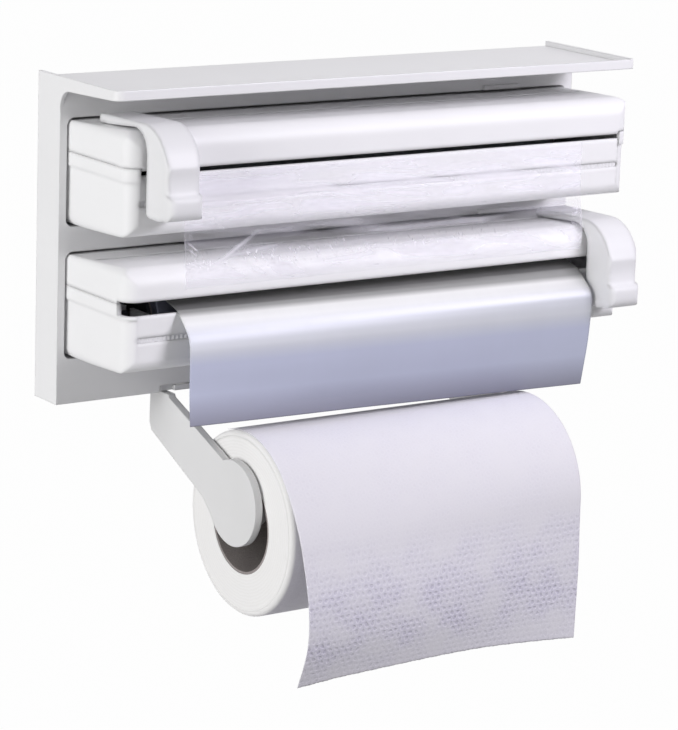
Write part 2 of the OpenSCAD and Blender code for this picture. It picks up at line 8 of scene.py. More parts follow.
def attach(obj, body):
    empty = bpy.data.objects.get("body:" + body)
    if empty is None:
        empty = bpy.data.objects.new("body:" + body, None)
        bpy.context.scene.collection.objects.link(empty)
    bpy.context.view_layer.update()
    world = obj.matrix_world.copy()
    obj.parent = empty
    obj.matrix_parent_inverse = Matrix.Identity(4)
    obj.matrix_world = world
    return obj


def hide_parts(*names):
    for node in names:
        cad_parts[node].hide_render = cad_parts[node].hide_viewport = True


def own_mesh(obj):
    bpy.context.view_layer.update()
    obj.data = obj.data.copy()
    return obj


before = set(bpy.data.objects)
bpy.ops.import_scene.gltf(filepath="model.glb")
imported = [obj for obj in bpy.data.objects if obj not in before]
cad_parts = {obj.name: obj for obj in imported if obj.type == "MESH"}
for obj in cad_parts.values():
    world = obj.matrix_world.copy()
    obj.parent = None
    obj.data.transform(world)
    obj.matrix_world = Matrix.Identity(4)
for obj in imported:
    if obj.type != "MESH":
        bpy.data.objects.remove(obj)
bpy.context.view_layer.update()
scene = bpy.context.scene
scene.view_settings.view_transform = "Standard"


# The camera stands to the left of the dispenser and a little above it, with a long lens.
# Its place and turn come from the straight edges of the frame in the picture.
camera_place = (-1.1251, -1.6802, 0.3762)
camera_yaw = math.radians(-34.58)
camera_pitch = math.radians(13.29)
camera_roll = math.radians(2.01)
sensor_size = 36
focal_pixels = 3178
picture_height = 730
aim = Vector((
    -math.sin(camera_yaw) * math.cos(camera_pitch),
    math.cos(camera_yaw) * math.cos(camera_pitch),
    -math.sin(camera_pitch),
))
level = aim.cross(Vector((0, 0, 1))).normalized()
upright = level.cross(aim)
right = math.cos(camera_roll) * level + math.sin(camera_roll) * upright
above = math.cos(camera_roll) * upright - math.sin(camera_roll) * level
lens = bpy.data.cameras.new("camera")
lens.sensor_width = sensor_size
lens.lens = sensor_size * focal_pixels / picture_height
camera = bpy.data.objects.new("camera", lens)
camera.matrix_world = Matrix((
    (right.x, above.x, -aim.x, camera_place[0]),
    (right.y, above.y, -aim.y, camera_place[1]),
    (right.z, above.z, -aim.z, camera_place[2]),
    (0, 0, 0, 1),
))
scene.collection.objects.link(camera)
scene.camera = camera


# The wall frame with its shelf is one moulding of white ABS with a fine, slightly glossy skin.
# It hangs on four screws, and the bar for the roll arms is screwed into its lower edge.
def add_nodes(tree, kinds):
    """Adds one node for each (name, type) pair to a node tree and returns them by name."""
    made = {}
    for name, kind in kinds.items():
        made[name] = tree.nodes.new(kind)
        made[name].name = name
    return made


def join(tree, *pairs):
    """Links outputs to inputs, given as (output, input) pairs."""
    for out, into in pairs:
        tree.links.new(out, into)


def tune(nodes, settings):
    """Sets inputs of nodes, given as {node: {input: value}}."""
    for name, values in settings.items():
        for label, value in values.items():
            nodes[name].inputs[label].default_value = value


def ramp(node, *stops):
    """Sets the stops of a colour ramp, given in order as (position, colour) pairs."""
    elements = node.color_ramp.elements
    for element, (position, colour) in zip(elements, (stops[0], stops[-1])):
        element.position = position
        element.color = (*colour, 1)
    for position, colour in stops[1:-1]:
        elements.new(position).color = (*colour, 1)


def new_group(name, inputs, outputs):
    """A node group with named sockets: inputs are (name, kind, default), outputs (name, kind)."""
    group = bpy.data.node_groups.new(name, "ShaderNodeTree")
    for label, kind, value in inputs:
        socket = group.interface.new_socket(label, in_out="INPUT", socket_type=kind)
        socket.default_value = value
    for label, kind in outputs:
        group.interface.new_socket(label, in_out="OUTPUT", socket_type=kind)
    return group


def moulded_skin_group():
    """Moulded plastic: slow mottling of the colour, faint rubbed streaks in the roughness and a fine
    orange-peel height, all in object space."""
    group = new_group(
        "moulded_skin",
        [
            ("Colour", "NodeSocketColor", (0.9, 0.9, 0.9, 1)),
            ("Tinge", "NodeSocketColor", (0.85, 0.85, 0.85, 1)),
            ("Roughness", "NodeSocketFloat", 0.3),
        ],
        [
            ("Colour", "NodeSocketColor"),
            ("Roughness", "NodeSocketFloat"),
            ("Height", "NodeSocketFloat"),
        ],
    )
    n = add_nodes(group, {
        "in": "NodeGroupInput", "out": "NodeGroupOutput", "where": "ShaderNodeTexCoord",
        "mottle": "ShaderNodeTexNoise", "rub": "ShaderNodeTexNoise", "stretch": "ShaderNodeMapping",
        "peel": "ShaderNodeTexNoise", "blend": "ShaderNodeMix", "dull": "ShaderNodeMath",
        "share": "ShaderNodeMapRange"})
    n["blend"].data_type = "RGBA"
    n["dull"].operation = "MULTIPLY_ADD"
    tune(n, {
        "mottle": {"Scale": 14, "Detail": 3},
        "stretch": {"Scale": (9, 70, 70)},
        "rub": {"Scale": 1, "Detail": 4},
        "peel": {"Scale": 600, "Detail": 2},
        "dull": {1: 0.06},
        "share": {"From Min": 0.4, "From Max": 0.75},
    })
    join(
        group,
        (n["where"].outputs["Object"], n["mottle"].inputs["Vector"]),
        (n["where"].outputs["Object"], n["stretch"].inputs["Vector"]),
        (n["stretch"].outputs["Vector"], n["rub"].inputs["Vector"]),
        (n["where"].outputs["Object"], n["peel"].inputs["Vector"]),
        (n["mottle"].outputs["Fac"], n["share"].inputs["Value"]),
        (n["share"].outputs["Result"], n["blend"].inputs[0]),
        (n["in"].outputs["Colour"], n["blend"].inputs[6]),
        (n["in"].outputs["Tinge"], n["blend"].inputs[7]),
        (n["rub"].outputs["Fac"], n["dull"].inputs[0]),
        (n["in"].outputs["Roughness"], n["dull"].inputs[2]),
        (n["blend"].outputs[2], n["out"].inputs["Colour"]),
        (n["dull"].outputs["Value"], n["out"].inputs["Roughness"]),
        (n["peel"].outputs["Fac"], n["out"].inputs["Height"]),
    )
    return group


moulded_skin = moulded_skin_group()


def new_material(name, kinds):
    """A material with a Principled shader and the extra nodes that are asked for."""
    material = bpy.data.materials.new(name)
    material.use_nodes = True
    tree = material.node_tree
    shader = tree.nodes["Principled BSDF"]
    return material, tree, shader, add_nodes(tree, kinds)


def plastic(name, colour, tinge, roughness, round_edge):
    """A moulded plastic with a light catch along its edges, as wide as round_edge in metres."""
    peel_height = 0.000003
    plastic_index = 1.54
    material, tree, shader, n = new_material(name, {
        "skin": "ShaderNodeGroup", "bump": "ShaderNodeBump", "edge": "ShaderNodeBevel"})
    n["skin"].node_tree = moulded_skin
    n["edge"].samples = 8
    tune(n, {
        "skin": {"Colour": (*colour, 1), "Tinge": (*tinge, 1), "Roughness": roughness},
        "edge": {"Radius": round_edge},
        "bump": {"Strength": 0.35, "Distance": peel_height},
    })
    shader.inputs["IOR"].default_value = plastic_index
    join(
        tree,
        (n["skin"].outputs["Colour"], shader.inputs["Base Color"]),
        (n["skin"].outputs["Roughness"], shader.inputs["Roughness"]),
        (n["skin"].outputs["Height"], n["bump"].inputs["Height"]),
        (n["edge"].outputs["Normal"], n["bump"].inputs["Normal"]),
        (n["bump"].outputs["Normal"], shader.inputs["Normal"]),
    )
    return material


def finish_nodes(material, *names):
    """Gives CAD nodes a material in place of the one they were packed with."""
    for name in names:
        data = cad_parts[name].data
        data.materials.clear()
        data.materials.append(material)


frame_white = plastic(
    "frame_white", colour=(0.85, 0.85, 0.855), tinge=(0.83, 0.83, 0.835),
    roughness=0.32, round_edge=0.0012)
finish_nodes(frame_white, "wall_frame", "roll_bar")


# The two cassettes are shells of smooth white ABS: a tray with round front corners and a lid
# that turns on rear pins. The dark slot between them lets the film or foil out.
cassette_white = plastic(
    "cassette_white", colour=(0.90, 0.90, 0.905), tinge=(0.88, 0.88, 0.885),
    roughness=0.50, round_edge=0.0040)
finish_nodes(cassette_white, "film_tray", "film_lid", "foil_tray", "foil_lid")


# The cutter handles are thick white mouldings that hook over the lid's front edge.
# Each runs on a shoe of slippery acetal in the lid's channel.
handle_white = plastic(
    "handle_white", colour=(0.81, 0.81, 0.82), tinge=(0.79, 0.79, 0.80),
    roughness=0.45, round_edge=0.0050)
finish_nodes(handle_white, "film_handle", "foil_handle")
shoe_grey = plastic(
    "shoe_grey", colour=(0.62, 0.63, 0.66), tinge=(0.56, 0.57, 0.60),
    roughness=0.38, round_edge=0.0004)
finish_nodes(shoe_grey, "film_shoe", "foil_shoe")


# The ribbed strips in the front grooves hold the end of the film or foil.
# They are a soft grey elastomer, so they are duller than the shells.
strip_grey = plastic(
    "strip_grey", colour=(0.82, 0.82, 0.83), tinge=(0.78, 0.78, 0.79),
    roughness=0.55, round_edge=0.0002)
finish_nodes(strip_grey, "film_grip_strip", "foil_grip_strip")


# The roll arms are flat ABS plates with a disc and a hub, turning on pins in the bar.
# Their skin is a little warmer and darker than the cassettes'.
arm_white = plastic(
    "arm_white", colour=(0.75, 0.75, 0.75), tinge=(0.72, 0.72, 0.72),
    roughness=0.36, round_edge=0.0012)
finish_nodes(arm_white, "left_arm", "right_arm")


# Pins, screws and blades are bright drawn steel with fine lines along their length.
# They are pressed or screwed in, and hardly show.
def drawn_steel():
    """Steel whose tone, roughness and height follow fine lines along X."""
    material, tree, shader, n = new_material("drawn_steel", {
        "where": "ShaderNodeTexCoord", "stretch": "ShaderNodeMapping", "lines": "ShaderNodeTexNoise",
        "dull": "ShaderNodeMapRange", "tone": "ShaderNodeValToRGB", "bump": "ShaderNodeBump"})
    ramp(n["tone"], (0, (0.46, 0.46, 0.48)), (1, (0.66, 0.66, 0.68)))
    tune(n, {
        "stretch": {"Scale": (40, 4000, 4000)},
        "lines": {"Scale": 1, "Detail": 3},
        "dull": {"To Min": 0.22, "To Max": 0.42},
        "bump": {"Strength": 0.2, "Distance": 0.00001},
    })
    shader.inputs["Metallic"].default_value = 1
    join(
        tree,
        (n["where"].outputs["Object"], n["stretch"].inputs["Vector"]),
        (n["stretch"].outputs["Vector"], n["lines"].inputs["Vector"]),
        (n["lines"].outputs["Fac"], n["dull"].inputs["Value"]),
        (n["lines"].outputs["Fac"], n["tone"].inputs["Fac"]),
        (n["lines"].outputs["Fac"], n["bump"].inputs["Height"]),
        (n["dull"].outputs["Result"], shader.inputs["Roughness"]),
        (n["tone"].outputs["Color"], shader.inputs["Base Color"]),
        (n["bump"].outputs["Normal"], shader.inputs["Normal"]),
    )
    return material


finish_nodes(
    drawn_steel(), "bar_screws", "arm_pins", "film_lid_pins", "foil_lid_pins",
    "film_handle_pin", "foil_handle_pin", "film_blade", "foil_blade")


# The three tubes are spiral-wound grey-brown card. The kitchen roll's tube hangs on the arms' hubs,
# and the two small tubes sit on plugs with stub axles, coloured black as painted shade so that the
# slots read dark.
def grey_card():
    """Card with a slanting ply seam, flecks and a fibrous height."""
    material, tree, shader, n = new_material("grey_card", {
        "where": "ShaderNodeTexCoord", "slant": "ShaderNodeMapping", "ply": "ShaderNodeTexWave",
        "fleck": "ShaderNodeTexNoise", "tone": "ShaderNodeValToRGB", "shade": "ShaderNodeMix",
        "bump": "ShaderNodeBump"})
    ramp(n["tone"], (0.3, (0.27, 0.24, 0.23)), (0.75, (0.42, 0.38, 0.37)))
    n["shade"].data_type = "RGBA"
    n["shade"].blend_type = "MULTIPLY"
    tune(n, {
        "slant": {"Rotation": (0, 0, math.radians(35))},
        "ply": {"Scale": 14, "Distortion": 0.4},
        "fleck": {"Scale": 1300, "Detail": 4},
        "shade": {0: 0.12},
        "bump": {"Strength": 0.4, "Distance": 0.0001},
    })
    shader.inputs["Roughness"].default_value = 0.85
    join(
        tree,
        (n["where"].outputs["Object"], n["slant"].inputs["Vector"]),
        (n["slant"].outputs["Vector"], n["ply"].inputs["Vector"]),
        (n["where"].outputs["Object"], n["fleck"].inputs["Vector"]),
        (n["fleck"].outputs["Fac"], n["tone"].inputs["Fac"]),
        (n["tone"].outputs["Color"], n["shade"].inputs[6]),
        (n["ply"].outputs["Color"], n["shade"].inputs[7]),
        (n["shade"].outputs[2], shader.inputs["Base Color"]),
        (n["fleck"].outputs["Fac"], n["bump"].inputs["Height"]),
        (n["bump"].outputs["Normal"], shader.inputs["Normal"]),
    )
    return material


finish_nodes(grey_card(), "paper_core", "film_core", "foil_core")
# The plugs' black is painted shade for the slots.
plug_painted_shade_black = plastic(
    "plug_painted_shade_black", colour=(0.07, 0.07, 0.075), tinge=(0.05, 0.05, 0.055),
    roughness=0.50, round_edge=0.0004)
finish_nodes(plug_painted_shade_black, "film_plugs", "foil_plugs")


# The kitchen roll is two-ply tissue wound on its tube. Its ends show the layers, its rims are soft,
# and its skin carries the same small pressed dots as the hanging end.
def grid_mesh(name, points, uv, around=0.0):
    """A mesh from a grid of points (rows, columns, 3) with one face between each four neighbours.
    uv has the same grid, as (rows, columns, 2). Where around is set, the last column joins the first,
    and around is the length of the whole turn in uv."""
    rows, columns = points.shape[:2]
    index = np.arange(rows * columns).reshape(rows, columns)
    if around:
        index = np.concatenate([index, index[:, :1]], axis=1)
        uv = np.concatenate([uv, uv[:, :1] + np.array([around, 0.0])], axis=1)
    wide = index.shape[1]
    place = np.arange(rows * wide).reshape(rows, wide)
    low = slice(0, -1)
    high = slice(1, None)
    corners = ((low, low), (low, high), (high, high), (high, low))
    faces = np.stack([index[a] for a in corners], axis=-1).reshape(-1, 4)
    spots = np.stack([place[a] for a in corners], axis=-1).reshape(-1)
    mesh = bpy.data.meshes.new(name)
    mesh.from_pydata(points.reshape(-1, 3), [], faces)
    layer = mesh.uv_layers.new(name="surface")
    layer.data.foreach_set("uv", uv.reshape(-1, 2)[spots].astype(np.float32).ravel())
    mesh.polygons.foreach_set("use_smooth", np.ones(len(mesh.polygons), bool))
    mesh.update()
    return mesh


def mark_points(mesh, name, values):
    """Stores one number for each point of a mesh under a name that materials can read."""
    layer = mesh.attributes.new(name, "FLOAT", "POINT")
    layer.data.foreach_set("value", values.astype(np.float32).ravel())


def new_piece(name, mesh, material, body, stands_for):
    """Puts a mesh into the scene as a piece that rides on a body and stands for a CAD node."""
    piece = bpy.data.objects.new(name, mesh)
    scene.collection.objects.link(piece)
    mesh.materials.append(material)
    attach(piece, body)
    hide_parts(stands_for)
    return piece


def pressed_dots_group():
    """Rows of small pressed dots on a lattice of equal triangles: the sum of three cosines, whose waves
    run at 60 degrees to each other over the surface, is highest in the middle of each dot. Each dot is
    a pit, pushed a little out of its row by a noise, with fibres between the pits. Its colour is
    painted
    light and shade: painted shade in its middle, a painted highlight on its rim and a darker, lilac
    painted shade between the dots. An attribute of the mesh and a slow noise say how deep the pits are
    and how strongly this painted light and shade shows."""
    group = new_group(
        "pressed_dots", [],
        [("Painted_shade_share", "NodeSocketFloat"), ("Spot", "NodeSocketColor"), ("Height", "NodeSocketFloat")],
    )
    n = add_nodes(group, {
        "out": "NodeGroupOutput", "where": "ShaderNodeUVMap", "lattice": "ShaderNodeMapRange",
        "pit": "ShaderNodeMapRange", "fibre": "ShaderNodeTexNoise", "spot": "ShaderNodeValToRGB",
        "sum": "ShaderNodeMath", "press_and_painted_shade": "ShaderNodeAttribute", "patch": "ShaderNodeTexNoise",
        "patchy": "ShaderNodeMapRange", "felt": "ShaderNodeMath", "dot": "ShaderNodeMath",
        "drift": "ShaderNodeTexNoise", "pushed": "ShaderNodeVectorMath"})
    dot_pitch = 0.0047
    push = 0.0034
    lowest_sum = -1.5
    highest_sum = 3
    # These three tones are painted light and shade: painted shade between the dots, a painted highlight
    # on their rims and painted shade in their middles.
    painted_shade_between_dots = (0.65, 0.63, 0.735)
    painted_highlight_dot_rim = (0.80, 0.785, 0.865)
    painted_shade_dot_middle = (0.61, 0.59, 0.695)
    across = 2 * math.pi / dot_pitch
    along = across / math.sqrt(3)
    total = None
    for direction in ((across, -along, 0), (0, 2 * along, 0), (across, along, 0)):
        wave = add_nodes(group, {
            "phase": "ShaderNodeVectorMath", "swing": "ShaderNodeMath", "add": "ShaderNodeMath"})
        wave["phase"].operation = "DOT_PRODUCT"
        wave["phase"].inputs[1].default_value = direction
        wave["swing"].operation = "COSINE"
        wave["add"].inputs[1].default_value = 0
        join(
            group,
            (n["pushed"].outputs["Vector"], wave["phase"].inputs[0]),
            (wave["phase"].outputs["Value"], wave["swing"].inputs[0]),
            (wave["swing"].outputs["Value"], wave["add"].inputs[0]),
        )
        if total is not None:
            join(group, (total, wave["add"].inputs[1]))
        total = wave["add"].outputs["Value"]
    n["where"].uv_map = "surface"
    n["press_and_painted_shade"].attribute_name = "press_and_painted_shade"
    n["pushed"].operation = "MULTIPLY_ADD"
    n["felt"].operation = "MULTIPLY"
    n["dot"].operation = "MULTIPLY"
    n["sum"].operation = "MULTIPLY_ADD"
    ramp(n["spot"], (0, painted_shade_between_dots), (0.4, painted_highlight_dot_rim), (0.75, painted_shade_dot_middle))
    tune(n, {
        "drift": {"Scale": 230},
        "pushed": {1: (push, push, 0)},
        "lattice": {"From Min": lowest_sum, "From Max": highest_sum},
        "patch": {"Scale": 45, "Detail": 2},
        "patchy": {"From Min": 0.35, "From Max": 0.65, "To Min": 0.3},
        "pit": {"From Min": 0.3, "From Max": 0.8},
        "fibre": {"Scale": 1500, "Detail": 3},
        "sum": {1: 0.25},
    })
    join(
        group,
        (n["where"].outputs["UV"], n["drift"].inputs["Vector"]),
        (n["drift"].outputs["Color"], n["pushed"].inputs[0]),
        (n["where"].outputs["UV"], n["pushed"].inputs[2]),
        (total, n["lattice"].inputs["Value"]),
        (n["lattice"].outputs["Result"], n["pit"].inputs["Value"]),
        (n["lattice"].outputs["Result"], n["spot"].inputs["Fac"]),
        (n["where"].outputs["UV"], n["fibre"].inputs["Vector"]),
        (n["where"].outputs["UV"], n["patch"].inputs["Vector"]),
        (n["patch"].outputs["Fac"], n["patchy"].inputs["Value"]),
        (n["patchy"].outputs["Result"], n["felt"].inputs[0]),
        (n["press_and_painted_shade"].outputs["Fac"], n["felt"].inputs[1]),
        (n["pit"].outputs["Result"], n["dot"].inputs[0]),
        (n["felt"].outputs["Value"], n["dot"].inputs[1]),
        (n["fibre"].outputs["Fac"], n["sum"].inputs[0]),
        (n["dot"].outputs["Value"], n["sum"].inputs[2]),
        (n["felt"].outputs["Value"], n["out"].inputs["Painted_shade_share"]),
        (n["spot"].outputs["Color"], n["out"].inputs["Spot"]),
        (n["sum"].outputs["Value"], n["out"].inputs["Height"]),
    )
    return group


pressed_dots = pressed_dots_group()


def tissue(name, colour, depth):
    """Soft white tissue that takes on the painted light and shade of the pressed dots where it is
    pressed, which also makes it darker and more lilac there as painted shade.
    """
    material, tree, shader, n = new_material(name, {
        "dots": "ShaderNodeGroup", "shade": "ShaderNodeMix", "bump": "ShaderNodeBump"})
    n["dots"].node_tree = pressed_dots
    n["shade"].data_type = "RGBA"
    n["bump"].invert = True
    tune(n, {
        "shade": {6: (*colour, 1)},
        "bump": {"Strength": 0.7, "Distance": depth},
    })
    shader.inputs["Roughness"].default_value = 0.95
    shader.inputs["Specular IOR Level"].default_value = 0.15
    shader.inputs["Sheen Weight"].default_value = 0.08
    join(
        tree,
        (n["dots"].outputs["Painted_shade_share"], n["shade"].inputs[0]),
        (n["dots"].outputs["Spot"], n["shade"].inputs[7]),
        (n["shade"].outputs[2], shader.inputs["Base Color"]),
        (n["dots"].outputs["Height"], n["bump"].inputs["Height"]),
        (n["bump"].outputs["Normal"], shader.inputs["Normal"]),
    )
    return material


def wound_profile(bore, outer, half, soft, layers):
    """Half section of a wound roll as (distance from the axis, place along it): out along the left
    end with a small ripple for the layers, round the soft rim, along the skin and back."""
    rim_steps = 7
    skin_steps = 30
    sunk = 0.1 * soft
    across = np.linspace(bore, outer - soft, layers)
    layer = np.arange(layers)
    ripple = 0.00003 * np.sin(layer * 2.4) + 0.000048 * np.sin(layer * 0.7)
    turn = np.linspace(0, math.pi / 2, rim_steps)
    end = np.stack([across, -half + sunk + ripple], axis=1)
    rim = np.stack([outer - soft + soft * np.sin(turn), -half + soft - soft * np.cos(turn)], axis=1)
    along = np.linspace(-half + soft, half - soft, skin_steps + 2)[1:-1]
    skin = np.stack([np.full(skin_steps, outer), along], axis=1)
    return np.concatenate([end, rim, skin, (rim * (1, -1))[::-1], (end * (1, -1))[::-1]])


def wound_roll(bore, outer, half, soft, layers, y, z, slack):
    """Points of a wound roll about an axis along X: its section turned round, with the skin pulled
    in and out a little by slack along its length and round it."""
    steps_round = 96
    side = wound_profile(bore, outer, half, soft, layers)
    angle = np.linspace(0, 2 * math.pi, steps_round, endpoint=False)
    radius = side[:, 0]
    place = side[:, 1]
    share = np.clip((radius - bore) / (outer - bore), 0, 1) ** 3
    wave = np.sin(3 * angle + 0.8) * 0.5 + np.sin(7 * angle + 2.1) * 0.3 - 0.9
    dent = slack * share[:, None] * (wave[None, :] + 0.35 * np.sin(place * 55 + 1)[:, None])
    round_r = radius[:, None] + dent
    points = np.stack([
        np.broadcast_to(place[:, None], round_r.shape),
        y + round_r * np.cos(angle)[None, :],
        z + round_r * np.sin(angle)[None, :],
    ], axis=-1)
    length = np.concatenate([[0], np.cumsum(np.linalg.norm(np.diff(side, axis=0), axis=1))])
    uv = np.stack([
        np.broadcast_to(angle[None, :] / (2 * math.pi), round_r.shape),
        np.broadcast_to(length[:, None], round_r.shape),
    ], axis=-1)
    return points, uv


paper_y = -0.107
paper_z = -0.1677
paper_bore = 0.0316
paper_radius = 0.058
paper_half = 0.110
paper_rim = 0.0035
paper_layers = 22
paper_slack = 0.00022
skin_gap = 0.0001
points, uv = wound_roll(
    paper_bore, paper_radius - skin_gap, paper_half, paper_rim, paper_layers,
    paper_y, paper_z, paper_slack)
girth = 2 * math.pi * paper_radius
uv[..., 0] *= girth
mesh = grid_mesh("paper_winding", points, uv, around=girth)
end_fade = 0.0015
on_end = np.clip((np.abs(points[..., 0]) - paper_half + paper_rim) / end_fade, 0, 1)
# The skin is pressed at a fifth of full depth, so it also takes about a fifth of the dots' painted
# light and shade.
skin_press_and_shade = 0.2
mark_points(mesh, "press_and_painted_shade", skin_press_and_shade * (1 - on_end))
mark_points(mesh, "end", on_end)
skin_tone = (0.79, 0.78, 0.81)
roll_dot_depth = 0.00012


def layered_tissue():
    """The roll's tissue: pressed dots on the skin, and on the ends thin rings about the roll's axis."""
    material = tissue("layered_tissue", skin_tone, roll_dot_depth)
    tree = material.node_tree
    shader = tree.nodes["Principled BSDF"]
    n = add_nodes(tree, {
        "where": "ShaderNodeTexCoord", "centre": "ShaderNodeMapping", "rings": "ShaderNodeTexWave",
        "tone": "ShaderNodeValToRGB", "end": "ShaderNodeAttribute", "side": "ShaderNodeMix"})
    n["rings"].wave_type = "RINGS"
    n["rings"].rings_direction = "X"
    n["end"].attribute_name = "end"
    n["side"].data_type = "RGBA"
    ramp(n["tone"], (0, (0.90, 0.893, 0.88)), (1, (0.93, 0.925, 0.915)))
    tune(n, {
        "centre": {"Location": (0, -paper_y, -paper_z)},
        "rings": {"Scale": 160, "Distortion": 3, "Detail": 3, "Detail Scale": 2},
    })
    join(
        tree,
        (n["where"].outputs["Object"], n["centre"].inputs["Vector"]),
        (n["centre"].outputs["Vector"], n["rings"].inputs["Vector"]),
        (n["rings"].outputs["Fac"], n["tone"].inputs["Fac"]),
        (n["end"].outputs["Fac"], n["side"].inputs[0]),
        (tree.nodes["shade"].outputs[2], n["side"].inputs[6]),
        (n["tone"].outputs["Color"], n["side"].inputs[7]),
        (n["side"].outputs[2], shader.inputs["Base Color"]),
    )
    return material


new_piece("paper_winding", mesh, layered_tissue(), "kitchen_roll", "paper_roll")


# The end of the kitchen roll leaves the front of the roll and hangs down with a slight bow.
# It is the same tissue, pressed with rows of small dots and torn nearly straight at its lower edge.
def smooth_path(points, steps):
    """A smooth curve through points: between two of them, the cubic whose slope at each point is
    half the step between that point's neighbours."""
    p = np.asarray(points, float)
    p = np.concatenate([p[:1], p, p[-1:]])
    u = np.linspace(0, 1, steps, endpoint=False)[None, :, None]
    a, b, c, d = (p[i:len(p) - 3 + i, None] for i in range(4))
    run = 0.5 * (2 * b + (c - a) * u + (2 * a - 5 * b + 4 * c - d) * u ** 2
                 + (3 * b - a - 3 * c + d) * u ** 3)
    return np.concatenate([run.reshape(-1, p.shape[1]), p[-1:]])


def even_steps(path, count):
    """The same curve with points at even distances along it."""
    length = np.concatenate([[0], np.cumsum(np.linalg.norm(np.diff(path, axis=0), axis=1))])
    at = np.linspace(0, length[-1], count)
    return np.stack([np.interp(at, length, path[:, i]) for i in range(path.shape[1])], axis=1)


def crease_field(x, s, seed, count, height, width, reach, lean=0.5, spread=0.9):
    """Height over a flat sheet from random straight creases: each is a ridge that falls off as a
    bell across its line and a wider bell along it. x and s are the sheet's two coordinates, and
    lean and spread say how the creases are turned from x, in radians."""
    pick = np.random.default_rng(seed)
    total = np.zeros_like(x)
    for _ in range(count):
        cx = pick.uniform(x.min(), x.max())
        cs = pick.uniform(s.min(), s.max())
        turn = pick.normal(lean, spread)
        along = (x - cx) * math.cos(turn) + (s - cs) * math.sin(turn)
        off = (s - cs) * math.cos(turn) - (x - cx) * math.sin(turn)
        size = pick.uniform(0.3, 1) * pick.choice([-1, 1])
        wide = width * pick.uniform(0.5, 1.5)
        far = reach * pick.uniform(0.4, 1.6)
        total += height * size * np.exp(-(off / wide) ** 2 - (along / far) ** 2)
    return total


def hung_web(left, right, half, columns):
    """Points between a left and a right edge curve of (y, z) points, straight across from one to the
    other. Also returned at each: the outward direction, the place x across and the length s along
    the left edge."""
    share = np.linspace(0, 1, columns)
    across = left[:, None, :] * (1 - share)[None, :, None] + right[:, None, :] * share[None, :, None]
    x = np.broadcast_to((-half + 2 * half * share)[None, :], across.shape[:2])
    points = np.concatenate([x[..., None], across], axis=-1)
    slope = np.gradient(points, axis=0)
    out = np.stack([np.zeros_like(x), slope[..., 2], -slope[..., 1]], axis=-1)
    out /= np.linalg.norm(out, axis=-1, keepdims=True)
    length = np.concatenate([[0], np.cumsum(np.linalg.norm(np.diff(left, axis=0), axis=1))])
    s = np.broadcast_to(length[:, None], x.shape)
    return points, out, x, s


def thicken(piece, thickness):
    """Gives a sheet its thickness behind its front face."""
    wall = piece.modifiers.new("thickness", "SOLIDIFY")
    wall.thickness = thickness
    wall.offset = -1


paper_wide = 0.218
paper_thick = 0.0004
paper_lift = 0.0004
paper_drop = 0.086
paper_bow = 0.019
start_degrees = 72
loose_degrees = 140
leave_degrees = 180
lift = paper_radius + paper_lift
degrees = np.linspace(start_degrees, leave_degrees, 42)
turn = np.radians(degrees)
rise = np.interp(degrees, [start_degrees, loose_degrees], [paper_radius + skin_gap, lift])
loose = np.clip((degrees - loose_degrees) / (leave_degrees - loose_degrees), 0, 1)
off = 0.45 * paper_bow * loose ** 2
# Points down the two hanging edges, as shares of the bow and of the drop.
left_shares = np.array([[0.6, 0.1], [0.75, 0.2], [1, 0.43], [0.96, 0.7], [0.46, 1]])
right_shares = np.array([[0.01, 0.1], [0.02, 0.2], [0.06, 0.43], [0.06, 0.72], [0.02, 1.05]])
hang = np.array([paper_bow, paper_drop])
start = np.array([paper_y - lift, paper_z])
edges = []
for shares, away in ((left_shares, off), (right_shares, 0 * off)):
    radius = rise + away
    on_roll = np.stack([paper_y + radius * np.cos(turn), paper_z + radius * np.sin(turn)], axis=1)
    path = smooth_path(np.concatenate([on_roll, start - shares * hang]), steps=8)
    edges.append(even_steps(path, count=200))
points, out, x, s = hung_web(edges[0], edges[1], half=paper_wide / 2, columns=220)
torn = float(s[-1, 0])
wavy_from = 0.123
wavy_over = 0.06
wave_height = 0.0009
free = np.clip((s - wavy_from) / wavy_over, 0, 1)
wave = wave_height * np.sin(x * 34 + s * 9 + 0.6) * free
wave += free * crease_field(x, s, seed=11, count=18, height=0.0006, width=0.012, reach=0.05)
points = points + out * np.maximum(wave, -paper_lift)[..., None]
belly = 0.005
belly_from = 0.12
bellied = np.clip((s - belly_from) / (torn - belly_from), 0, 1) ** 2
points[..., 2] += belly * np.cos(x * math.pi / paper_wide) * bellied
tear = 0.0001
points[-1, :, 2] += tear * np.sin(x[0] * 1900) + tear * np.sin(x[0] * 530 + 1)
mesh = grid_mesh("paper_end", points, np.stack([x, s], axis=-1))
# Where it is pressed, the hanging end also turns darker and more lilac from the dots' painted shade,
# from about 11 cm along it down to near its torn edge.
pressed_and_shaded_at = [0.11, 0.15, torn - 0.024, torn - 0.010]
pressed_and_shaded_by = [0.15, 1, 1, 0.45]
mark_points(mesh, "press_and_painted_shade", np.interp(s, pressed_and_shaded_at, pressed_and_shaded_by))
end_dot_depth = 0.0007
hanging_tissue = tissue("hanging_tissue", skin_tone, end_dot_depth)
paper_end = new_piece("paper_end", mesh, hanging_tissue, "frame", "paper_sheet")
thicken(paper_end, paper_thick)


# The wound film and foil lie on small tubes inside the cassettes, where little of them shows.
# They are hard, smooth rolls: the film clear and greyish, the foil bright.
film_seam = 0.0555
foil_seam = -0.027
inner_y = -0.052
inner_z = -0.017
inner_bore = 0.01505
inner_rim = 0.0006
inner_layers = 8
inner_slack = 0.00005
film_radius = 0.020
foil_radius = 0.022
film_wide = 0.300
foil_wide = 0.305
end_inset = 0.001


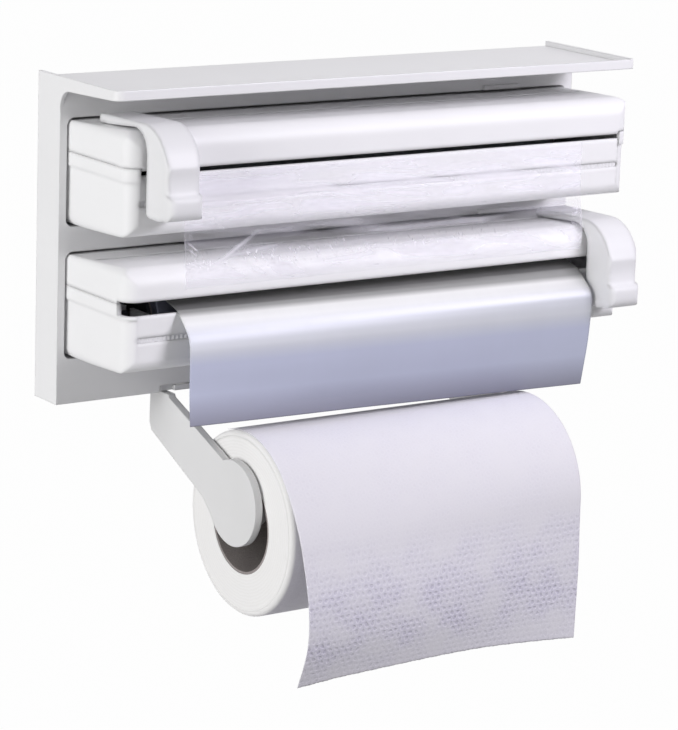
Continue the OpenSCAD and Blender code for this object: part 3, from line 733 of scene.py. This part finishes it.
def clear_winding():
    """Many layers of clear film: a smooth, deep grey with faint lines round the roll."""
    material, tree, shader, n = new_material("clear_winding", {
        "where": "ShaderNodeTexCoord", "stretch": "ShaderNodeMapping", "bands": "ShaderNodeTexNoise",
        "tone": "ShaderNodeValToRGB"})
    tune(n, {
        "stretch": {"Scale": (400, 6, 6)},
        "bands": {"Scale": 1},
    })
    ramp(n["tone"], (0, (0.24, 0.25, 0.27)), (1, (0.36, 0.37, 0.40)))
    shader.inputs["Roughness"].default_value = 0.18
    join(
        tree,
        (n["where"].outputs["Object"], n["stretch"].inputs["Vector"]),
        (n["stretch"].outputs["Vector"], n["bands"].inputs["Vector"]),
        (n["bands"].outputs["Fac"], n["tone"].inputs["Fac"]),
        (n["tone"].outputs["Color"], shader.inputs["Base Color"]),
    )
    return material


def rolled_lines_group():
    """Fine rolling lines of foil: noise drawn out along the foil's length, as tone and height."""
    group = new_group(
        "rolled_lines", [], [("Tone", "NodeSocketFloat"), ("Height", "NodeSocketFloat")])
    n = add_nodes(group, {
        "out": "NodeGroupOutput", "where": "ShaderNodeTexCoord", "stretch": "ShaderNodeMapping",
        "lines": "ShaderNodeTexNoise", "cloud": "ShaderNodeTexNoise", "sum": "ShaderNodeMath"})
    n["sum"].operation = "ADD"
    tune(n, {
        "stretch": {"Scale": (260, 5, 5)},
        "lines": {"Scale": 1, "Detail": 4},
        "cloud": {"Scale": 9},
    })
    join(
        group,
        (n["where"].outputs["Object"], n["stretch"].inputs["Vector"]),
        (n["stretch"].outputs["Vector"], n["lines"].inputs["Vector"]),
        (n["where"].outputs["Object"], n["cloud"].inputs["Vector"]),
        (n["lines"].outputs["Fac"], n["sum"].inputs[0]),
        (n["cloud"].outputs["Fac"], n["sum"].inputs[1]),
        (n["sum"].outputs["Value"], n["out"].inputs["Tone"]),
        (n["lines"].outputs["Fac"], n["out"].inputs["Height"]),
    )
    return group


rolled_lines = rolled_lines_group()


def satin_foil():
    """Aluminium foil, satin side. An attribute of the mesh picks the tone: from -1, a darker painted
    shade, over 0, as rolled, and 0.5, a bright painted highlight, to 1, a grey painted shade. The
    rolling lines change the tone and the roughness a little."""
    material, tree, shader, n = new_material("satin_foil", {
        "lines": "ShaderNodeGroup", "share": "ShaderNodeMapRange", "tone": "ShaderNodeMix",
        "dull": "ShaderNodeMapRange", "bump": "ShaderNodeBump", "rub": "ShaderNodeAttribute",
        "place": "ShaderNodeMapRange", "metal": "ShaderNodeValToRGB"})
    n["lines"].node_tree = rolled_lines
    # This node reads the foil's painted light and shade.
    n["rub"].attribute_name = "foil_painted_light"
    n["tone"].data_type = "RGBA"
    n["tone"].blend_type = "MULTIPLY"
    # Besides the rolled tone, these are painted light and shade: a darker painted shade for the lower
    # end, a painted highlight and its fading edge, and a grey painted shade by the slot.
    painted_shade_tone = (0.25, 0.25, 0.31)
    rolled_tone = (0.42, 0.435, 0.54)
    painted_highlight_fade_tone = (0.49, 0.497, 0.545)
    painted_highlight_tone = (0.69, 0.69, 0.692)
    painted_slot_shade_tone = (0.34, 0.34, 0.34)
    ramp(
        n["metal"], (0, painted_shade_tone), (0.5, rolled_tone), (0.58, painted_highlight_fade_tone),
        (0.75, painted_highlight_tone), (1, painted_slot_shade_tone))
    tune(n, {
        "share": {"From Min": 0.6, "From Max": 1.4, "To Min": 0.98, "To Max": 1.02},
        "dull": {"From Min": 0.6, "From Max": 1.4, "To Min": 0.65, "To Max": 0.69},
        "place": {"From Min": -1},
        "tone": {0: 1},
        "bump": {"Strength": 0.05, "Distance": 0.000002},
    })
    shader.inputs["Metallic"].default_value = 1
    join(
        tree,
        (n["rub"].outputs["Fac"], n["place"].inputs["Value"]),
        (n["place"].outputs["Result"], n["metal"].inputs["Fac"]),
        (n["lines"].outputs["Tone"], n["share"].inputs["Value"]),
        (n["metal"].outputs["Color"], n["tone"].inputs[6]),
        (n["share"].outputs["Result"], n["tone"].inputs[7]),
        (n["lines"].outputs["Tone"], n["dull"].inputs["Value"]),
        (n["tone"].outputs[2], shader.inputs["Base Color"]),
        (n["dull"].outputs["Result"], shader.inputs["Roughness"]),
        (n["lines"].outputs["Height"], n["bump"].inputs["Height"]),
        (n["bump"].outputs["Normal"], shader.inputs["Normal"]),
    )
    return material


foil_satin = satin_foil()
windings = (
    ("film", film_seam, film_radius, film_wide, clear_winding()),
    ("foil", foil_seam, foil_radius, foil_wide, foil_satin),
)
for name, seam, outer, wide, material in windings:
    points, uv = wound_roll(
        inner_bore, outer - skin_gap, wide / 2 - end_inset, inner_rim, inner_layers,
        inner_y, seam + inner_z, inner_slack)
    mesh = grid_mesh(name + "_winding", points, uv, around=1.0)
    new_piece(name + "_winding", mesh, material, name + "_spool", name + "_roll")


# The foil comes out of the lower slot in a bow and hangs down past the frame's lower edge.
# It is one satin sheet, cut straight, with the faint buckles that thin metal keeps.
def off_roll(radius, lip):
    """The point where a straight web to lip leaves the top of a roll of that radius."""
    to_lip = np.asarray(lip) - np.array([inner_y, inner_z])
    angle = math.atan2(to_lip[1], to_lip[0]) - math.acos(radius / np.linalg.norm(to_lip))
    return np.array([inner_y + radius * math.cos(angle), inner_z + radius * math.sin(angle)])


case_front = -0.098
web_lift = 0.0008
foil_thick = 0.0002
foil_bow = 0.015
foil_drop = 0.073
lip = np.array([case_front + 0.0015, -0.0054])
first = off_roll(foil_radius + web_lift, lip)
# Points down the two edges below the slot, as shares of the bow and of the drop.
left_shares = np.array([
    [0.43, 0.165], [0.83, 0.262], [0.97, 0.36], [0.99, 0.525], [1, 0.74], [1.13, 1]])
right_shares = np.array([
    [0.43, 0.165], [0.9, 0.253], [1, 0.34], [0.93, 0.525], [0.8, 0.78], [0.47, 1.11]])
edges = []
for shares in (left_shares, right_shares):
    hung = np.array([case_front, 0.0]) - shares * np.array([foil_bow, foil_drop])
    bent = smooth_path(np.concatenate([lip[None], hung]), steps=12)
    run = np.linspace(first, lip, 12, endpoint=False)
    edge = even_steps(np.concatenate([run, bent]), count=190)
    edges.append(edge + np.array([0.0, foil_seam]))
points, out, x, s = hung_web(edges[0], edges[1], half=foil_wide / 2, columns=240)
cut = float(s[-1, 0])
buckle_from = 0.055
buckle_over = 0.05
buckle_height = 0.0004
free = np.clip((s - buckle_from) / buckle_over, 0, 1)
buckle = buckle_height * np.sin(s * 105 + x * 7)
buckle = buckle + crease_field(x, s, seed=5, count=12, height=buckle_height, width=0.018, reach=0.08)
points = points + out * (free * buckle)[..., None]
mesh = grid_mesh("foil_end", points, np.stack([x, s], axis=-1))
# The foil's painted light along its length: grey painted shade just out of the slot, a bright painted
# highlight over the bend that fades below it, and a darker painted shade towards the cut end.
bright_at = [0.042, 0.046, 0.051, 0.058, 0.067, 0.077]
bright_by = [1, 0.5, 0.45, 0.18, 0.2, 0]
painted_shade_from = 0.095
bright = np.interp(s, bright_at, bright_by)
mark_points(mesh, "foil_painted_light", bright - np.interp(s, [painted_shade_from, cut], [0, 1]))
foil_end = new_piece("foil_end", mesh, foil_satin, "foil_cassette", "foil_sheet")
thicken(foil_end, foil_thick)


# The cling film comes out of the upper slot, clings to the tray's front and hangs loosely over the
# lower lid. It is clear, and shows by painted highlights along its creases, its cut edges and its
# wrinkles, and by haze patches in a darker painted shade.
def cling_film():
    """Clear film: nearly unseen where it is smooth, faint in hazy patches whose darker lilac tone is
    painted shade, and white along creases, edges and wrinkles as a painted highlight, which the mesh
    carries as an attribute."""
    material, tree, shader, n = new_material("cling_film", {
        "mark": "ShaderNodeAttribute", "where": "ShaderNodeUVMap", "stretch": "ShaderNodeMapping",
        "haze": "ShaderNodeTexNoise", "patch": "ShaderNodeMapRange", "sum": "ShaderNodeMath",
        "fine": "ShaderNodeTexNoise", "bump": "ShaderNodeBump", "limit": "ShaderNodeClamp",
        "tone": "ShaderNodeMix"})
    n["mark"].attribute_name = "film_painted_highlight"
    n["where"].uv_map = "surface"
    n["sum"].operation = "ADD"
    n["tone"].data_type = "RGBA"
    # The haze patches take a darker lilac tone as painted shade, and where the mesh is marked the film
    # turns to the white of its painted highlights.
    tune(n, {
        "stretch": {"Scale": (9, 80, 1)},
        "haze": {"Scale": 1, "Detail": 3, "Distortion": 0.8},
        "patch": {"From Min": 0.42, "From Max": 0.72, "To Min": 0.04, "To Max": 0.34},
        "limit": {"Max": 0.8},
        "fine": {"Scale": 90, "Detail": 3},
        "tone": {6: (0.74, 0.72, 0.81, 1), 7: (0.98, 0.97, 1.0, 1)},
        "bump": {"Strength": 0.3, "Distance": 0.0004},
    })
    film_index = 1.5
    shader.inputs["Roughness"].default_value = 0.12
    shader.inputs["IOR"].default_value = film_index
    join(
        tree,
        (n["where"].outputs["UV"], n["stretch"].inputs["Vector"]),
        (n["stretch"].outputs["Vector"], n["haze"].inputs["Vector"]),
        (n["haze"].outputs["Fac"], n["patch"].inputs["Value"]),
        (n["patch"].outputs["Result"], n["sum"].inputs[0]),
        (n["mark"].outputs["Fac"], n["sum"].inputs[1]),
        (n["sum"].outputs["Value"], n["limit"].inputs["Value"]),
        (n["limit"].outputs["Result"], shader.inputs["Alpha"]),
        (n["mark"].outputs["Fac"], n["tone"].inputs[0]),
        (n["tone"].outputs[2], shader.inputs["Base Color"]),
        (n["where"].outputs["UV"], n["fine"].inputs["Vector"]),
        (n["fine"].outputs["Fac"], n["bump"].inputs["Height"]),
        (n["bump"].outputs["Normal"], shader.inputs["Normal"]),
    )
    return material


film_clear = cling_film()
film_gap = 0.0004
film_y = case_front + film_gap
film_drop = 0.074
hang_below = 0.005
lip = np.array([film_y + 0.0038, -0.0031])
film_path = smooth_path([
    lip,
    (film_y + 0.001, -0.0035),
    (film_y, -0.0048),
    (film_y - 0.0001, -0.011),
    (film_y - 0.0002, -0.0215),
    (film_y - 0.0005, -0.46 * film_drop),
    (film_y - 0.0012, -0.6 * film_drop),
    (film_y - 0.0026, -0.73 * film_drop),
    (film_y - 0.0036, -0.85 * film_drop),
    (film_y - 0.0034, -film_drop),
], steps=14)
hang_from = int(np.argmax(film_path[:, 1] < -hang_below))


def bell(distance, width):
    """A bell curve over a distance: 1 in the middle, and 1/e at that width from it."""
    return np.exp(-(distance / width) ** 2)


def film_sides(x, s, over_gap, seed):
    """Painted highlight along the two cut sides: a thin line at the edge, and beside it a crinkled
    strip that wanders a little. Both are strongest over the gap between the cassettes."""
    half = film_wide / 2
    strip_middle = half - 0.004
    crinkle = crease_field(x, s, seed, count=420, height=1.0, width=0.0006, reach=0.004)
    wander = 0.0022 * np.sin(s * 210 + 0.4) + 0.0012 * np.sin(s * 520 + np.sign(x))
    strip = np.exp(-((np.abs(x) - strip_middle - wander) / 0.0030) ** 4)
    strip *= np.clip(np.abs(crinkle), 0, 1) * (0.25 + 0.75 * over_gap)
    edge = (0.05 + 0.30 * over_gap) * bell(half - np.abs(x), 0.0006)
    return edge + strip


def film_fold(x, below):
    """Painted highlight of one short fold near the left side, a slanting line that rises to the right
    and fades towards both its ends."""
    fold_start = (-0.117, 0.054)
    fold_middle = -0.114
    fold_slope = 0.55
    off = (x - fold_start[0]) * fold_slope - (fold_start[1] - below)
    return 0.5 * bell(off, 0.0014) * bell(x - fold_middle, 0.013)


def film_lid_highlight(x, s, below, seed):
    """Painted highlight where the film meets the lower lid: white blots that begin at a wavy line and
    fade downwards, and small painted glints along that line, more of them on the left."""
    lid_meets = 0.0575
    lid_highlight_ends = 0.0735
    over = below - lid_meets - 0.0015 * np.sin(x * 71) - 0.0008 * np.sin(x * 233 + 1)
    blot = crease_field(
        x, s, seed, count=90, height=0.6, width=0.005, reach=0.022, lean=0.3, spread=0.4)
    lid_highlight = 0.75 * np.clip(over / 0.005, 0, 1) * np.clip(0.5 + blot, 0, 1)
    lid_highlight *= np.clip((lid_highlight_ends - below) / 0.010, 0.15, 1)
    painted_glints = crease_field(
        x, s, seed + 1, count=900, height=1.2, width=0.0004, reach=0.0012, lean=1.2, spread=0.5)
    return lid_highlight + np.clip(np.abs(painted_glints), 0, 1) * bell(over, 0.004) * np.clip(0.5 - x * 4, 0, 1)


def film_cling(x, s, below, seed):
    """Painted sheen where the film clings to the tray: long level streaks, strongest low on the tray's
    front and gone where the film hangs free."""
    cling_at = [0.005, 0.014, 0.022, 0.040]
    cling_by = [0.3, 0.4, 1, 0]
    painted_sheen_streaks = crease_field(
        x, s, seed, count=110, height=0.7, width=0.0035, reach=0.040, lean=0.05, spread=0.10)
    return np.clip(np.abs(painted_sheen_streaks) + 0.1, 0, 0.8) * np.interp(below, cling_at, cling_by)


def film_piece(name, path, columns, seed, count, hanging):
    """One stretch of film along a path, with soft waves and a few creases that stand off the path
    where it hangs free, and with the sum of the film's painted highlights. hanging is 1 for the stretch
    that hangs out of the slot and 0 for the one inside, which is clearer."""
    off_tray = 0.025
    gap_middle = 0.051
    clearer = 0.4
    path = path + np.array([0.0, film_seam])
    points, out, x, s = hung_web(path, path, half=film_wide / 2, columns=columns)
    below = film_seam - points[..., 2]
    free = np.clip((below - off_tray) / 0.03, 0.04, 1) * hanging
    creases = crease_field(
        x, s, seed, count, height=0.0009, width=0.006, reach=0.030, lean=0.1, spread=0.3)
    waves = crease_field(
        x, s, seed + 1, count // 2, height=0.0011, width=0.016, reach=0.060, lean=0.1, spread=0.3)
    points = points + out * (np.abs(creases + waves) * free)[..., None]
    # The wisps are painted highlights on the film's wrinkles.
    wisps = crease_field(
        x, s, seed + 3, count=60, height=0.3, width=0.0018, reach=0.035, lean=0.05, spread=0.12)
    loose = film_fold(x, below) + film_lid_highlight(x, s, below, seed + 4)
    loose += np.clip(wisps, 0, 0.3) + film_cling(x, s, below, seed + 6)
    sides = film_sides(x, s, bell(below - gap_middle, 0.008), seed + 2)
    mark = sides + loose * hanging - clearer * (1 - hanging)
    mesh = grid_mesh(name, points, np.stack([x, s], axis=-1))
    mark_points(mesh, "film_painted_highlight", np.clip(mark, -clearer, 0.8))
    piece = new_piece(name, mesh, film_clear, "film_cassette", "film_sheet")
    # Clear film lets nearly all light through, so it throws no shade.
    piece.visible_shadow = False
    return piece, float(s[-1, 0])


first = off_roll(film_radius + web_lift, lip)
inside = np.concatenate([np.linspace(first, lip, 16, endpoint=False), film_path[:hang_from + 1]])
outside = film_path[hang_from:]
film_web, web_length = film_piece(
    "film_web", even_steps(inside, count=40), columns=160, seed=21, count=12, hanging=0.0)
film_tail, tail_length = film_piece(
    "film_tail", even_steps(outside, count=160), columns=560, seed=31, count=26, hanging=1.0)
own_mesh(film_tail)


# The stage is a plain white floor well below the dispenser, under two soft lamps: a wide one on the
# left, and a nearer, slightly cool one above, in front and to the right.
# The surroundings fill the shadows.
def seen_directly(tree):
    """An output that is 1 where the camera looks, in a mirror or through clear film too, and else 0."""
    n = add_nodes(tree, {
        "path": "ShaderNodeLightPath", "seen": "ShaderNodeMath", "clear": "ShaderNodeMath"})
    n["seen"].operation = "MAXIMUM"
    n["clear"].operation = "MAXIMUM"
    join(
        tree,
        (n["path"].outputs["Is Camera Ray"], n["seen"].inputs[0]),
        (n["path"].outputs["Is Glossy Ray"], n["seen"].inputs[1]),
        (n["seen"].outputs["Value"], n["clear"].inputs[0]),
        (n["path"].outputs["Is Transmission Ray"], n["clear"].inputs[1]),
    )
    return n["clear"].outputs["Value"]


def white_surroundings():
    """The world: white where the camera or a mirror looks at it, and for all else a soft fill that
    is strongest overhead and weakest from below."""
    world = bpy.data.worlds.new("surroundings")
    world.use_nodes = True
    scene.world = world
    tree = world.node_tree
    n = add_nodes(tree, {
        "white": "ShaderNodeBackground", "mix": "ShaderNodeMixShader", "way": "ShaderNodeTexCoord",
        "height": "ShaderNodeSeparateXYZ", "sky": "ShaderNodeMapRange"})
    fill = tree.nodes["Background"]
    fill.inputs["Color"].default_value = (0.95, 0.94, 0.96, 1)
    tune(n, {
        "sky": {"From Min": -0.6, "From Max": 1, "To Min": 0.02, "To Max": 0.44},
        "white": {"Color": (1, 1, 1, 1)},
    })
    join(
        tree,
        (n["way"].outputs["Generated"], n["height"].inputs["Vector"]),
        (n["height"].outputs["Z"], n["sky"].inputs["Value"]),
        (n["sky"].outputs["Result"], fill.inputs["Strength"]),
        (seen_directly(tree), n["mix"].inputs["Fac"]),
        (fill.outputs["Background"], n["mix"].inputs[1]),
        (n["white"].outputs["Background"], n["mix"].inputs[2]),
        (n["mix"].outputs["Shader"], tree.nodes["World Output"].inputs["Surface"]),
    )


white_surroundings()


def lamp(name, place, target, size, power, colour):
    """A square soft lamp that faces a target."""
    data = bpy.data.lights.new(name, "AREA")
    data.size = size
    data.energy = power
    data.color = colour
    item = bpy.data.objects.new(name, data)
    item.location = place
    item.rotation_euler = (Vector(target) - Vector(place)).to_track_quat("-Z", "Y").to_euler()
    scene.collection.objects.link(item)


lamp(
    "left_lamp", place=(-2.35, -0.42, 0.35), target=(0, -0.06, -0.05),
    size=1.6, power=37, colour=(1.0, 1.0, 1.0))
lamp(
    "front_lamp", place=(0.50, -1.02, 0.66), target=(0, -0.06, -0.1),
    size=0.50, power=11.4, colour=(0.94, 0.91, 1.0))


def white_floor():
    """A floor that the camera sees as nearly white, and that still takes a faint shadow."""
    material = bpy.data.materials.new("white_floor")
    material.use_nodes = True
    tree = material.node_tree
    n = add_nodes(tree, {
        "share": "ShaderNodeMath", "white": "ShaderNodeEmission", "mix": "ShaderNodeMixShader"})
    shader = tree.nodes["Principled BSDF"]
    shader.inputs["Base Color"].default_value = (0.5, 0.5, 0.5, 1)
    shader.inputs["Roughness"].default_value = 0.9
    n["share"].operation = "MULTIPLY"
    white_share = 0.985
    n["share"].inputs[1].default_value = white_share
    join(
        tree,
        (seen_directly(tree), n["share"].inputs[0]),
        (n["share"].outputs["Value"], n["mix"].inputs["Fac"]),
        (shader.outputs["BSDF"], n["mix"].inputs[1]),
        (n["white"].outputs["Emission"], n["mix"].inputs[2]),
        (n["mix"].outputs["Shader"], tree.nodes["Material Output"].inputs["Surface"]),
    )
    return material


floor_reach = 30
floor_z = -0.9
across = np.linspace(-floor_reach, floor_reach, 3)
points = np.stack([*np.meshgrid(across, across), np.full((3, 3), floor_z)], axis=-1)
mesh = grid_mesh("floor", points, points[..., :2] * 0.1)
mesh.materials.append(white_floor())
floor = bpy.data.objects.new("floor", mesh)
scene.collection.objects.link(floor)
